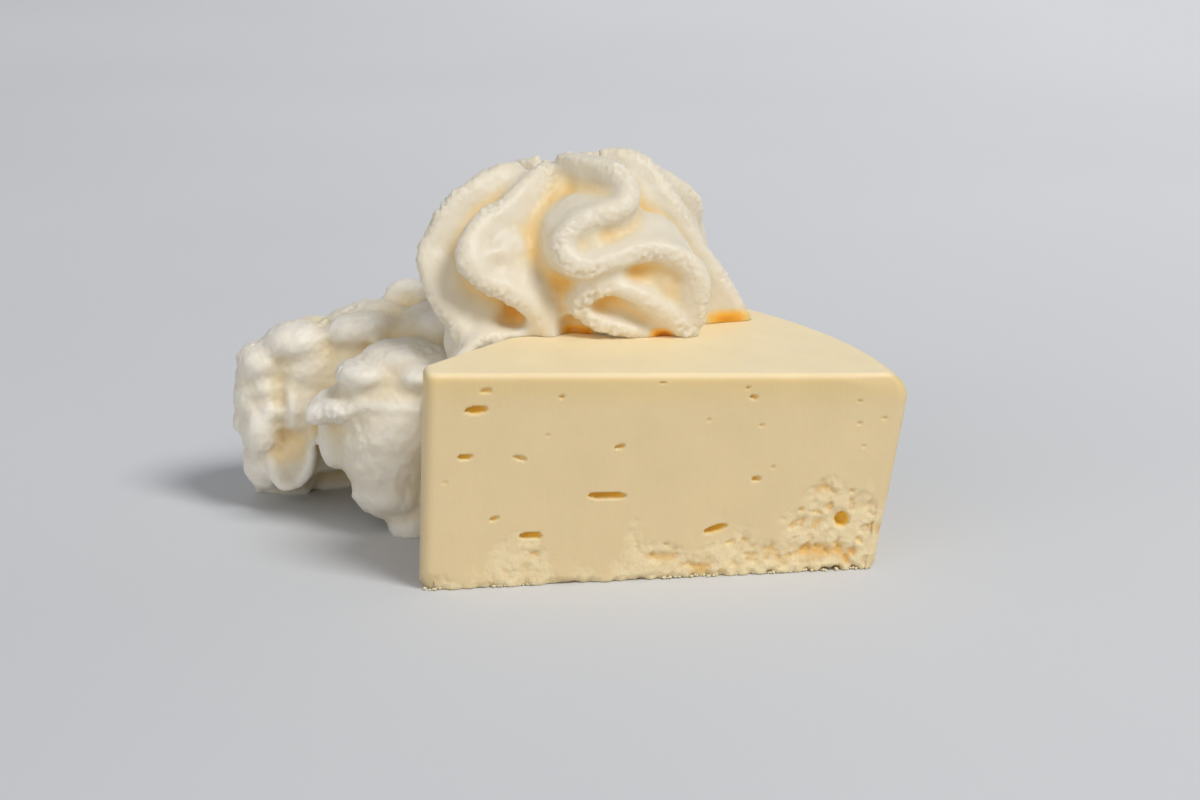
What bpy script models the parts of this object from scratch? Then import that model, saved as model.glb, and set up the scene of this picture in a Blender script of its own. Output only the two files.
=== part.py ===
# A slice of smooth baked cheesecake, with whipped cream piped on its top and heaped at its side.
# Sizes are in millimetres from the slice's tip on the floor: x runs along the front cut face to the
# rim, y away from that face, z up. The part's origin is on the floor in the middle of the slice's base,
# so place() takes the tip away from there and turns millimetres into metres.

import math

import bmesh
import bpy
from mathutils import Vector, noise

mm = 0.001
base_middle = Vector((62.0, 28.0, 0.0))

# The slice
slice_angle = math.radians(50.6)      # between its two cut faces
back_start = -2.7                     # where the second cut face's line would meet the front face's line
back_lean = 1.5                       # that face leans in by this much from floor to top
tip_facet = 4.7                       # x of the blunt end at the tip
rim_radius_top = 112.4                # the pan's wall, from the whole cake's centre
rim_radius_floor = 105.5              # it shrank from the wall and leans in towards its foot
slice_height = 49.0                   # at the tip
top_fall = 0.041                      # mm that the top drops for each mm towards the rim
corner_rounding = 2.5                 # plan radius of the upright edges
cut_rounding = 1.8                    # where the top meets a cut face
rim_rounding = 5.5                    # where the top meets the rim
rim_zone = (96.0, 110.0)              # over this radius the one rounding turns into the other
foot_rounding = 0.4
front_columns = 112                   # places along the front face
wall_rows = 60
edge_rows = 5                         # in the rounding at the top
cutter_columns = 24                   # the plainer slice that clears the cream
cutter_rows = 6
cutter_drop = 2.0                     # it reaches this far below the floor
slice_share = 0.16                    # share of the fine slice's faces that is kept

# The cream
clearance = 0.3                       # between solids that touch
grain = 1.15                          # voxel that fuses the folds
path_step = 2.0                       # between the sections along a fold
mound_fillet = 0.9                    # radius that its creases are filled to
heap_fillet = 1.3
mound_share = 0.18                    # share of the fused cream's faces that is kept
heap_share = 0.115
lump_size = 14.0                      # soft unevenness of hand-piled cream
lump_height = 2.2
floor_box = Vector((260, 260, 40))    # the block that cuts the heap flat at the floor
floor_box_middle = Vector((30, 50, -20))
mound_heart = (Vector((46, 60, 50)), Vector((46, 57, 68)))   # the mound's folds reach in to this line
heap_heart = (Vector((-14, 74, 22)), Vector((44, 74, 26)))

# Air holes in the front cut face: x, z, half width, half height, depth, turn in degrees
air_holes = [
    (17.3, 40.4, 2.5, 0.9, 3.0, 0),
    (14.7, 30.1, 1.6, 0.8, 2.2, 0),
    (26.6, 29.3, 1.6, 0.8, 1.4, -20),
    (45.4, 19.9, 4.0, 0.9, 3.6, 0),
    (28.7, 11.6, 2.6, 0.9, 2.8, 0),
    (20.7, 15.8, 1.2, 0.8, 1.4, 0),
    (48.3, 30.8, 1.3, 0.8, 1.4, 0),
    (69.2, 11.2, 2.8, 1.0, 2.6, 14),
    (72.6, 7.8, 1.4, 0.8, 1.8, 10),
    (78.3, 22.2, 1.2, 0.8, 1.2, 0),
    (91.5, 13.7, 2.8, 1.0, 2.0, 20),
    (97.6, 11.6, 1.9, 1.9, 3.0, 0),
    (105.0, 10.3, 1.2, 1.2, 2.0, 0),
    (101.7, 6.8, 1.8, 1.1, 1.8, 0),
    (92.3, 5.6, 1.8, 1.1, 1.8, -15),
    (58.4, 8.3, 1.2, 0.9, 1.4, 0),
]
# Height of the torn, crumbly zone at the foot of the front face, at places along x
torn_height = [(5, 3.5), (25, 4.0), (45, 8.0), (60, 9.5), (74, 10.0), (84, 17.0), (96, 21.0), (110, 16.0)]

# The mound's folds: the points that each crest passes, with the radius of the crest, the half width
# of its root and how far the fold reaches in
mound_folds = {
    "left": ([(33, 56, 84), (27, 52, 84), (21, 49, 81), (15, 47, 77), (11, 45, 71), (8, 43, 65),
              (10, 39, 57), (14, 36, 51), (19, 33, 44)], 2.6, 7.5, 15),
    "left_inner": ([(38, 53, 84), (33, 47, 82), (28, 42, 78), (22, 38, 75), (18, 35, 71), (17, 32, 66),
                    (21, 31, 61), (27, 31, 58), (33, 32, 53), (38, 34, 44)], 2.7, 6.0, 13),
    "crown": ([(38, 55, 84), (40, 49, 81), (39, 45, 76), (37, 44, 70), (36, 48, 62)], 4.5, 9.0, 13),
    "middle": ([(42, 53, 86), (47, 47, 87), (53, 41, 86), (57, 36, 81), (54, 32, 77), (46, 31, 75),
                (40, 30, 71), (40, 28, 67), (44, 27, 64), (51, 28, 65), (60, 30, 67), (68, 31, 65),
                (73, 32, 59), (72, 34, 48)], 2.9, 8.0, 15),
    "arch": ([(43, 35, 46), (43, 32, 53), (47, 30, 58), (53, 29, 60), (60, 30, 57), (66, 32, 52),
              (72, 35, 44)], 2.5, 5.0, 11),
    "arch_lip": ([(45, 34, 50), (50, 32, 49), (57, 33, 48)], 2.2, 4.0, 9),
    "right": ([(52, 58, 86), (59, 57, 86), (65, 55, 82), (69, 52, 76), (74, 51, 67), (79, 51, 59),
               (84, 51, 51), (87, 51, 45)], 3.0, 10.0, 16),
    "foot": ([(16, 28, 45), (21, 31, 47), (28, 33, 47), (36, 35, 48)], 2.0, 5.0, 14),
}
# The mound's far side has folds by rule: each climbs it with a slow wave
mound_size = Vector((38.0, 26.0, 37.0))   # half width, half depth and height of the mound
mound_foot = Vector((47.0, 57.0, 48.0))
mound_back_count = 5
mound_back_turn = math.radians(155)   # they stand over this much of the mound, seen from above
mound_back_wave = math.radians(13)
mound_back_lean = math.radians(74)    # how far a fold leans over the mound's top, and climbs
mound_back_climb = math.radians(80)
mound_back_fold = (2.6, 9.0, 14.0)    # crest radius, root half width, reach

# Balls that fill out the mound and the heap: centre, radii
mound_core = [
    ((47, 61, 57), (31, 17, 25)),
    ((47, 58, 50), (32, 20, 8)),
    ((26, 52, 54), (10, 9, 15)),
    ((60, 45, 57), (14, 9, 10)),
    ((46.5, 37, 67.5), (6, 6.5, 5.5)),
    ((26.5, 42, 65), (8, 7, 8)),
    ((62, 41, 59), (11, 8, 7)),
    ((57, 39, 47.5), (8, 6, 4)),
]

heap_core = [
    ((-14, 76, 25), (17, 14, 19)),        # the far mass
    ((0, 74, 28), (20, 15, 20)),
    ((16, 68, 28), (20, 18, 21)),
    ((-22, 76, 15), (9, 11, 13)),
    ((38, 76, 20), (20, 13, 30)),
    ((3, 50, 22), (14, 14, 18)),          # the near mass
    ((12, 47, 10), (12, 10, 11)),
    ((22, 52, 21), (14, 14, 19)),
    ((10, 50, 36), (12, 11, 7)),
    ((-3, 67, 42.5), (9, 6.5, 4.4)),      # lobes on the far mass, from its ridge down to its foot
    ((8.5, 78, 49.2), (5.5, 3, 2.5)),
    ((15, 62, 43), (7, 8, 5.5)),
    ((-19, 69.5, 40), (8, 7.5, 4.8)),
    ((-27, 71, 35), (6, 7.5, 5.2)),
    ((-30, 72, 31), (3.4, 6, 3.4)),
    ((-15, 68.5, 33), (10, 6.5, 8)),
    ((-29, 71, 26), (5.1, 6.5, 7.5)),
    ((-26.5, 68, 29.5), (4, 5, 3.5)),
    ((-28, 68, 20), (4.6, 7, 8)),
    ((-26, 64.5, 24.5), (2.4, 3, 3)),
    ((-32.6, 70, 21), (2.4, 3, 2.4)),
    ((-17, 67, 25), (5, 5.5, 8.5)),
    ((-20.8, 68.5, 14), (5, 5, 6.5)),
    ((-27, 70, 11), (5.5, 6.5, 7)),
    ((5.5, 51, 40), (10.5, 9, 3.9)),      # lobes on the near mass
    ((-4, 47, 37.2), (6.5, 7.5, 3.6)),
    ((8.5, 44, 37.2), (6, 6, 2.6)),
    ((-15.6, 46, 28.6), (2.8, 3.4, 3)),
    ((-8, 46, 29.5), (7, 5.5, 3.6)),
    ((2, 46, 18), (11, 10, 13)),
    ((2.5, 47, 10.5), (10.5, 10.5, 8)),
    ((-10, 54, 21), (5, 6, 8)),
    ((5.5, 43, 2), (5.5, 5, 5)),
]
heap_folds = {
    "ridge": ([(-10, 72, 45), (-5, 71, 46.5), (1, 71, 47.2), (7, 71, 47), (13, 71, 46.5)], 2.6, 4.5, 9),
    "lip": ([(-16.3, 46, 27.8), (-14.5, 44.5, 29.8), (-10, 42, 31.2), (-4.5, 39, 31.6), (2, 37.3, 31.2),
             (8, 37, 30.6)], 2.0, 5.5, 9),
    "rib": ([(-21.5, 63, 31), (-21.2, 61.5, 28), (-21.2, 61, 24.5), (-21.3, 62, 20)], 1.2, 3.0, 7),
    "hem": ([(-15.5, 62, 20), (-16.3, 60.5, 16), (-17.5, 60, 11), (-19.8, 60, 7.4), (-22.3, 60, 6.3),
             (-25, 60.5, 7.3), (-26.6, 61.5, 10), (-26.6, 62.5, 13)], 1.4, 2.8, 8),
}
# The heap's far side has soft folds from the floor over its back
heap_back_count = 7
heap_back_x = (-26.0, 52.0)
heap_back_y = 89.0
heap_back_fall = 17.0                 # they lean in by this much on their way up
heap_back_height = 40.0
heap_back_uneven = 7.0                # their heights differ by up to this much
heap_back_sway = 5.0                  # sideways wave, drift and front-to-back spread of their lines
heap_back_drift = 6.0
heap_back_spread = 3.0
heap_back_fold = (3.0, 8.0, 12.0)
below_floor = 4.0                     # they start below the floor, which cuts them


def place(point):
    return (Vector(point) - base_middle) * mm


def blend(low, high, value):
    t = min(max((value - low) / (high - low), 0.0), 1.0)
    return t * t * (3 - 2 * t)


def between(table, x):
    # straight-line value at x of a list of (x, value)
    if x <= table[0][0]:
        return table[0][1]
    for (x0, v0), (x1, v1) in zip(table, table[1:]):
        if x <= x1:
            return v0 + (v1 - v0) * (x - x0) / (x1 - x0)
    return table[-1][1]


def top_z(x):
    return slice_height - top_fall * x


def arc(centre, radius, start, end, count):
    points = []
    for i in range(count + 1):
        a = start + (end - start) * i / count
        points.append(Vector((centre[0] + radius * math.cos(a), centre[1] + radius * math.sin(a))))
    return points


def left_of(direction):
    return Vector((-direction.y, direction.x))


def meet_lines(p, along, q, other):
    # where the line through p meets the line through q
    t = (q - p).cross(other) / along.cross(other)
    return p + along * t


def meet_circle(p, along, radius):
    # where the line through p leaves the circle round the cake's centre
    near = p - along * p.dot(along)
    return near + along * math.sqrt(radius ** 2 - near.length_squared)


def slice_outline(cut_inset, rim_inset, lean, rim_radius, columns):
    # The slice seen from above, counter-clockwise from the left end of its front face, with its edges
    # moved in; the second cut face is moved in by lean as well
    rim = rim_radius - rim_inset
    corner = max(corner_rounding - cut_inset, 0.3)
    front_way = Vector((1, 0))
    back_way = -Vector((math.cos(slice_angle), math.sin(slice_angle)))
    tip_way = Vector((0, -1))
    front = Vector((0, cut_inset + corner))
    back = Vector((back_start, 0)) + left_of(back_way) * (cut_inset + lean + corner)
    tip = Vector((tip_facet + lean * 1.3 + cut_inset + corner, 0))
    front_rim = meet_circle(front, front_way, rim - corner)
    back_rim = meet_circle(back, -back_way, rim - corner)
    back_tip = meet_lines(back, back_way, tip, tip_way)
    front_tip = meet_lines(front, front_way, tip, tip_way)
    first = math.atan2(front_rim.y, front_rim.x)
    last = math.atan2(back_rim.y, back_rim.x)
    points = []
    for i in range(columns + 1):
        points.append(front_tip.lerp(front_rim, i / columns) - Vector((0, corner)))
    points += arc(front_rim, corner, -math.pi / 2, first, 4)[1:]
    points += arc((0, 0), rim, first, last, 24)[1:]
    points += arc(back_rim, corner, last, slice_angle + math.pi / 2, 4)[1:]
    for i in range(1, 25):
        points.append(back_rim.lerp(back_tip, i / 24) - left_of(back_way) * corner)
    points += arc(back_tip, corner, slice_angle + math.pi / 2, math.pi, 4)[1:]
    for i in range(1, 5):
        points.append(back_tip.lerp(front_tip, i / 4) - Vector((corner, 0)))
    points += arc(front_tip, corner, math.pi, 1.5 * math.pi, 5)[1:-1]
    return points


def hole_depth(x, z):
    deepest = 0.0
    for hx, hz, width, height, depth, turn in air_holes:
        if abs(x - hx) > 5 or abs(z - hz) > 3:
            continue
        a = math.radians(turn)
        u = ((x - hx) * math.cos(a) + (z - hz) * math.sin(a)) / width
        v = ((z - hz) * math.cos(a) - (x - hx) * math.sin(a)) / height
        inside = 1 - (abs(u) ** 2.4 + abs(v) ** 2.4)
        if inside > 0:
            deepest = max(deepest, depth * math.sqrt(inside))
    return deepest


def torn_depth(x, z):
    # the crumbly zone is a field of small hollows that starts softly at its upper edge
    zone = blend(0, 5, between(torn_height, x) - z)
    hollow = noise.noise(Vector((x * 0.22, 3.1, z * 0.30))) + 0.5 * noise.noise(Vector((x * 0.6, 9.4, z * 0.7)))
    worst = 0.35 + 0.65 * blend(60, 98, x)
    ragged = max(0.6 + noise.noise(Vector((x * 0.35, 1.7, 0))), 0.0) * blend(1.6, 0, z)
    return worst * (zone * max(0.9 + 2.2 * hollow, 0.0) + 1.5 * ragged)


def slice_mesh(name, grow, relief):
    # One ring of points for each level, from the floor up; grow makes the same slice a little larger
    bm = bmesh.new()
    columns = front_columns if relief else cutter_columns
    rows = wall_rows if relief else cutter_rows
    levels = [(0.0, -foot_rounding)]
    levels += [(i / rows, 0.0) for i in range(rows + 1)]
    levels += [(1.0, i / edge_rows * math.pi / 2) for i in range(1, edge_rows + 1)]
    rings = []
    for share, turn in levels:
        rim = rim_radius_floor + (rim_radius_top - rim_radius_floor) * share
        round_in = 1 - math.cos(turn) if turn > 0 else 0.0
        foot_in = foot_rounding if turn < 0 else 0.0
        outline = slice_outline(cut_rounding * round_in + foot_in - grow, rim_rounding * round_in + foot_in - grow,
                                back_lean * share, rim, columns)
        ring = []
        for i, p in enumerate(outline):
            rounding = cut_rounding + (rim_rounding - cut_rounding) * blend(*rim_zone, p.length)
            high = top_z(p.x) - rounding
            z = foot_rounding + (high - foot_rounding) * share
            z += (rounding + grow) * math.sin(turn) if turn > 0 else 0.0
            z = 0.0 if turn < 0 else z
            push = 0.0
            if relief and i < columns + 5 and turn <= 0:
                edge = blend(-1, 3, i) * blend(columns + 4, columns - 1, i)
                push = hole_depth(p.x, z) * edge + torn_depth(p.x, z)
            x, y = p.x, p.y
            if i <= columns:
                y += push
            else:
                x -= push * 0.8
            if turn < 0 and not relief:
                z -= cutter_drop
            ring.append(bm.verts.new(place((x, y, z))))
        rings.append(ring)
    for below, above in zip(rings, rings[1:]):
        for i in range(len(below)):
            j = (i + 1) % len(below)
            bm.faces.new((below[i], below[j], above[j], above[i]))
    bm.faces.new(rings[0][::-1])
    bm.faces.new(rings[-1])
    return finished(bm, name)


def finished(bm, name):
    mesh = bpy.data.meshes.new(name)
    bm.normal_update()
    bm.to_mesh(mesh)
    bm.free()
    obj = bpy.data.objects.new(name, mesh)
    bpy.context.scene.collection.objects.link(obj)
    return obj


def smooth_path(points, step):
    # Points at even steps along a Catmull-Rom curve through the given ones
    knots = [Vector(p) for p in points]
    knots = [knots[0] * 2 - knots[1]] + knots + [knots[-1] * 2 - knots[-2]]
    path = []
    for a, b, c, d in zip(knots, knots[1:], knots[2:], knots[3:]):
        count = max(int((c - b).length / step + 0.5), 1)
        for i in range(count):
            t = i / count
            path.append(0.5 * (2 * b + (c - a) * t + (2 * a - 5 * b + 4 * c - d) * t * t
                               + (3 * b - a - 3 * c + d) * t ** 3))
    path.append(knots[-2])
    return path


def nearest_on(line, point):
    a, b = line
    t = (point - a).dot(b - a) / (b - a).length_squared
    return a + (b - a) * min(max(t, 0.0), 1.0)


def add_fold(bm, crest, tip, root, reach, heart):
    # A fold is a crest with a round edge whose two flanks widen, then close a little, towards the heart
    path = smooth_path(crest, path_step)
    section = []
    for i in range(5):
        a = math.radians(-80 + 40 * i)
        section.append((tip - tip * math.cos(a), tip * math.sin(a)))
    flank = []
    for q in (0.3, 0.6, 0.85, 1.0):
        flank.append((tip + (reach - tip) * q, tip + (root - tip) * q ** 1.3 * (1.9 - 1.3 * q * q)))
    section += flank
    section += [(depth, -half_width) for depth, half_width in reversed(flank)]
    rings = []
    for i, p in enumerate(path):
        along = (path[min(i + 1, len(path) - 1)] - path[max(i - 1, 0)]).normalized()
        inward = nearest_on(heart, p) - p
        inward = (inward - along * inward.dot(along)).normalized()
        side = along.cross(inward)
        end = min(i, len(path) - 1 - i)
        size = 0.55 + 0.45 * blend(0, 3, end)
        ring = [bm.verts.new(place(p + (inward * s + side * w) * size)) for s, w in section]
        rings.append(ring)
    for a, b in zip(rings, rings[1:]):
        for i in range(len(a)):
            j = (i + 1) % len(a)
            bm.faces.new((a[i], a[j], b[j], b[i]))
    bm.faces.new(rings[0][::-1])
    bm.faces.new(rings[-1])


def add_ball(bm, centre, radii):
    made = bmesh.ops.create_icosphere(bm, subdivisions=3, radius=1.0)["verts"]
    for v in made:
        v.co = place(Vector(centre) + Vector(v.co[k] * radii[k] for k in range(3)))


def mound_back_folds():
    folds = []
    for k in range(mound_back_count):
        start = mound_back_turn * (k + 0.5) / mound_back_count
        crest = []
        for i in range(7):
            t = i / 6
            turn = start + mound_back_wave * math.sin(2 * math.pi * t + 1.9 * k)
            out = math.cos(t * mound_back_lean)
            crest.append((mound_foot.x + mound_size.x * out * math.cos(turn),
                          mound_foot.y + mound_size.y * out * math.sin(turn),
                          mound_foot.z + mound_size.z * math.sin(t * mound_back_climb)))
        folds.append((crest, *mound_back_fold))
    return folds


def heap_back_folds():
    folds = []
    first, last = heap_back_x
    for k in range(heap_back_count):
        x = first + (last - first) * k / (heap_back_count - 1)
        tall = heap_back_height + heap_back_uneven * math.sin(0.8 * k) + below_floor
        crest = []
        for i in range(5):
            t = i / 4
            crest.append((x + heap_back_sway * math.sin(2.2 * t * math.pi + 1.3 * k) + heap_back_drift * t,
                          heap_back_y + heap_back_spread * math.sin(2.0 * k) - heap_back_fall * t ** 2.2,
                          tall * math.sin(t * math.pi / 2) - below_floor))
        folds.append((crest, *heap_back_fold))
    return folds


def add_modifier(obj, name, kind, **settings):
    modifier = obj.modifiers.new(name, kind)
    for key, value in settings.items():
        setattr(modifier, key, value)
    return modifier


def lumps(name, size, amount, obj):
    texture = bpy.data.textures.new(name, "CLOUDS")
    texture.noise_scale = size * mm
    texture.noise_depth = 2
    add_modifier(obj, name, "DISPLACE", texture=texture, texture_coords="LOCAL",
                 strength=amount * mm, mid_level=0.5)


def guide(obj):
    obj.hide_render = True
    obj.display_type = "WIRE"
    return obj


def floor_cutter():
    bm = bmesh.new()
    bmesh.ops.create_cube(bm, size=1.0)
    for v in bm.verts:
        v.co = place(floor_box_middle + v.co * floor_box)
    return guide(finished(bm, "floor_cutter"))


def fuse(obj, fillet, share, cutters):
    # fused, then swollen and shrunk again, which leaves a soft fillet in each crease
    add_modifier(obj, "fuse", "REMESH", mode="VOXEL", voxel_size=grain * mm)
    add_modifier(obj, "swell", "DISPLACE", strength=fillet * mm, mid_level=0.0)
    add_modifier(obj, "fill_creases", "REMESH", mode="VOXEL", voxel_size=grain * mm)
    add_modifier(obj, "shrink", "DISPLACE", strength=-fillet * mm, mid_level=0.0)
    add_modifier(obj, "even_out", "REMESH", mode="VOXEL", voxel_size=grain * mm, use_smooth_shade=True)
    add_modifier(obj, "soften", "SMOOTH", factor=0.5, iterations=2)
    lumps(obj.name + "_lumps", lump_size, lump_height, obj)
    add_modifier(obj, "thin_out", "DECIMATE", ratio=share)
    for cutter in cutters:
        add_modifier(obj, "clear_" + cutter.name, "BOOLEAN", operation="DIFFERENCE", object=cutter)


def make_mound(cutters):
    bm = bmesh.new()
    for centre, radii in mound_core:
        add_ball(bm, centre, radii)
    for fold in list(mound_folds.values()) + mound_back_folds():
        add_fold(bm, *fold, mound_heart)
    mound = finished(bm, "cream_top")
    fuse(mound, mound_fillet, mound_share, cutters)
    return mound


def make_heap(cutters):
    bm = bmesh.new()
    for centre, radii in heap_core:
        add_ball(bm, centre, radii)
    for fold in list(heap_folds.values()) + heap_back_folds():
        add_fold(bm, *fold, heap_heart)
    heap = finished(bm, "cream_side")
    fuse(heap, heap_fillet, heap_share, cutters)
    return heap


def food_material(name, colour, roughness):
    material = bpy.data.materials.new(name)
    material.use_nodes = True
    shader = material.node_tree.nodes["Principled BSDF"]
    shader.inputs["Base Color"].default_value = (*colour, 1.0)
    shader.inputs["Roughness"].default_value = roughness
    shader.inputs["Metallic"].default_value = 0.0
    return material


for old in list(bpy.data.objects):
    bpy.data.objects.remove(old)

cake = slice_mesh("cake", 0.0, True)
add_modifier(cake, "thin_out", "DECIMATE", ratio=slice_share)
cake.data.materials.append(food_material("cheesecake", (0.75, 0.58, 0.34), 0.55))
cake.data.shade_smooth()

slice_cutter = guide(slice_mesh("slice_cutter", clearance, False))
floor = floor_cutter()
cream = food_material("whipped_cream", (0.85, 0.80, 0.70), 0.5)

mound = make_mound([slice_cutter])
mound.data.materials.append(cream)

mound_cutter = guide(mound.copy())
mound_cutter.name = "mound_cutter"
bpy.context.scene.collection.objects.link(mound_cutter)
add_modifier(mound_cutter, "grow", "DISPLACE", strength=clearance * mm, mid_level=0.0)

heap = make_heap([slice_cutter, floor, mound_cutter])
heap.data.materials.append(cream)
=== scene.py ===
import math

import bmesh
import bpy
from mathutils import Matrix, Vector, noise


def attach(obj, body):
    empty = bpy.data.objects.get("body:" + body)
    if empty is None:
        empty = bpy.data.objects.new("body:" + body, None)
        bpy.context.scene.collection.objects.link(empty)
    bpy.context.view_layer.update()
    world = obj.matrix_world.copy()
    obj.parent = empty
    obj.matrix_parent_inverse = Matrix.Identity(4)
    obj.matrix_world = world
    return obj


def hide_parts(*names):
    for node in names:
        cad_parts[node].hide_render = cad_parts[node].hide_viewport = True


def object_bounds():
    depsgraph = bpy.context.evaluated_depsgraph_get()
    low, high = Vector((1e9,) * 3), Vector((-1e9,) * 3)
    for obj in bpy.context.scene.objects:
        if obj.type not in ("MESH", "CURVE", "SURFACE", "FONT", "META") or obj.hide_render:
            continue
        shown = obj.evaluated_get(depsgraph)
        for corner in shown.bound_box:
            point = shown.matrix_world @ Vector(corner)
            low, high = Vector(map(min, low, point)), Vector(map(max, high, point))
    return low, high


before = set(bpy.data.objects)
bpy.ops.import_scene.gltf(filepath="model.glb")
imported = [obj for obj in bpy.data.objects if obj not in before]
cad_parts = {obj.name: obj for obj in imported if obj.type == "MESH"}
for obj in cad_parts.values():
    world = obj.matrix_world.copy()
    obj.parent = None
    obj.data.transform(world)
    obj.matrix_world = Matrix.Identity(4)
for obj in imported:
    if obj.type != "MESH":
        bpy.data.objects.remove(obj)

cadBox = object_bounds()  # the box that the dressed part stays inside
print("frame loaded:", ", ".join(sorted(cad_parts)))

# Sizes are in millimetres from the slice's tip on the floor: x along the front cut face to the rim,
# y away from that face, z up. The frame's origin is on the floor in the middle of the slice's base.
mm = 0.001
baseMiddle = Vector((62.0, 28.0, 0.0))


def place(point):
    return (Vector(point) - baseMiddle) * mm


def ease(low, high, value):
    t = min(max((value - low) / (high - low), 0.0), 1.0)
    return t * t * (3 - 2 * t)


def between(table, x):  # straight-line value at x of a list of (x, value)
    if x <= table[0][0]:
        return table[0][1]
    for (x0, v0), (x1, v1) in zip(table, table[1:]):
        if x <= x1:
            return v0 + (v1 - v0) * (x - x0) / (x1 - x0)
    return table[-1][1]


def hexColour(code):  # sRGB hex to linear
    parts = [int(code[i:i + 2], 16) / 255 for i in (0, 2, 4)]
    return tuple(c / 12.92 if c <= 0.04045 else ((c + 0.055) / 1.055) ** 2.4 for c in parts) + (1.0,)


def addNode(tree, kind, inputs=None, **settings):  # one node with its settings, values and links
    node = tree.nodes.new(kind)
    for key, value in settings.items():
        setattr(node, key, value)
    for key, value in (inputs or {}).items():
        if isinstance(value, bpy.types.NodeSocket):
            tree.links.new(value, node.inputs[key])
        else:
            node.inputs[key].default_value = value
    return node


def linkMesh(bm, name):
    mesh = bpy.data.meshes.new(name)
    bm.normal_update()
    bm.to_mesh(mesh)
    bm.free()
    obj = bpy.data.objects.new(name, mesh)
    bpy.context.scene.collection.objects.link(obj)
    return obj


def freeze(obj, name, material):  # the evaluated object as a plain mesh, with no modifiers left
    graph = bpy.context.evaluated_depsgraph_get()
    mesh = bpy.data.meshes.new_from_object(obj.evaluated_get(graph))
    mesh.name = name
    piece = bpy.data.objects.new(name, mesh)
    bpy.context.scene.collection.objects.link(piece)
    mesh.materials.clear()
    mesh.materials.append(material)
    mesh.shade_smooth()
    bpy.data.objects.remove(obj)
    return piece


def triangles(obj):
    return sum(len(face.vertices) - 2 for face in obj.data.polygons)


# Camera: the photograph's place and angle, a long lens from about 65 cm
camera = {
    "place": (-32.7, -582.8, 200.7),
    "down": 15.15,      # degrees, as the next two
    "turn": 7.5,
    "roll": -0.43,
    "lens": 84.99,      # mm
    "sensorWidth": 36,
    "clipEnd": 20,      # metres
}


def makeCamera():
    down, turn, roll = (math.radians(camera[key]) for key in ("down", "turn", "roll"))
    forward = Vector((math.sin(turn) * math.cos(down), math.cos(turn) * math.cos(down), -math.sin(down)))
    flat = forward.cross(Vector((0, 0, 1))).normalized()
    upright = flat.cross(forward)
    right = flat * math.cos(roll) + upright * math.sin(roll)
    up = upright * math.cos(roll) - flat * math.sin(roll)
    data = bpy.data.cameras.new("camera")
    data.sensor_width = camera["sensorWidth"]
    data.lens = camera["lens"]
    data.clip_end = camera["clipEnd"]
    obj = bpy.data.objects.new("camera", data)
    turned = Matrix((right, up, -forward)).transposed().to_4x4()
    obj.matrix_world = Matrix.Translation(place(camera["place"])) @ turned
    bpy.context.scene.collection.objects.link(obj)
    bpy.context.scene.camera = obj


# The slice: a wedge of baked cream cheese, cut with a knife, torn at its foot
cake = {
    "angle": math.radians(50.6),
    "backStart": -2.7,          # where the second cut face's line meets the front face's line
    "backLean": 1.5,            # how far that face leans in from the floor to the top
    "tipFacet": 4.7,            # from the point to the little facet that blunts it
    "rimTop": 112.2,            # the rim's radius at the top and at the floor
    "rimFloor": 105.5,
    "height": 49.0,
    "topFall": 0.041,           # the top sinks towards the rim, per mm
    "cornerRound": 2.5,
    "cutRound": 1.8,            # the top edge over the cuts, and over the rim
    "rimRound": 5.5,
    "rimZone": (96.0, 110.0),
    "footRound": 0.4,
    "topSteps": 10,             # round the top edge
    "fineGrid": (290, 128, 70),     # columns on the front face, rows, columns on each other side
    "plainGrid": (24, 6, 24),       # the same for the plain block that cuts the cream
    "tipColumns": 24,           # of the outline, round the blunted point
    "cutterFoot": 2.0,          # how far that block goes on below the floor
    "topRings": (0.985, 0.95, 0.88, 0.78, 0.66, 0.53, 0.4, 0.27, 0.14),
    "holeDepthShown": 1.8,      # a hole this deep has its full colour
    "seed": 3.1,
}
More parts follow.
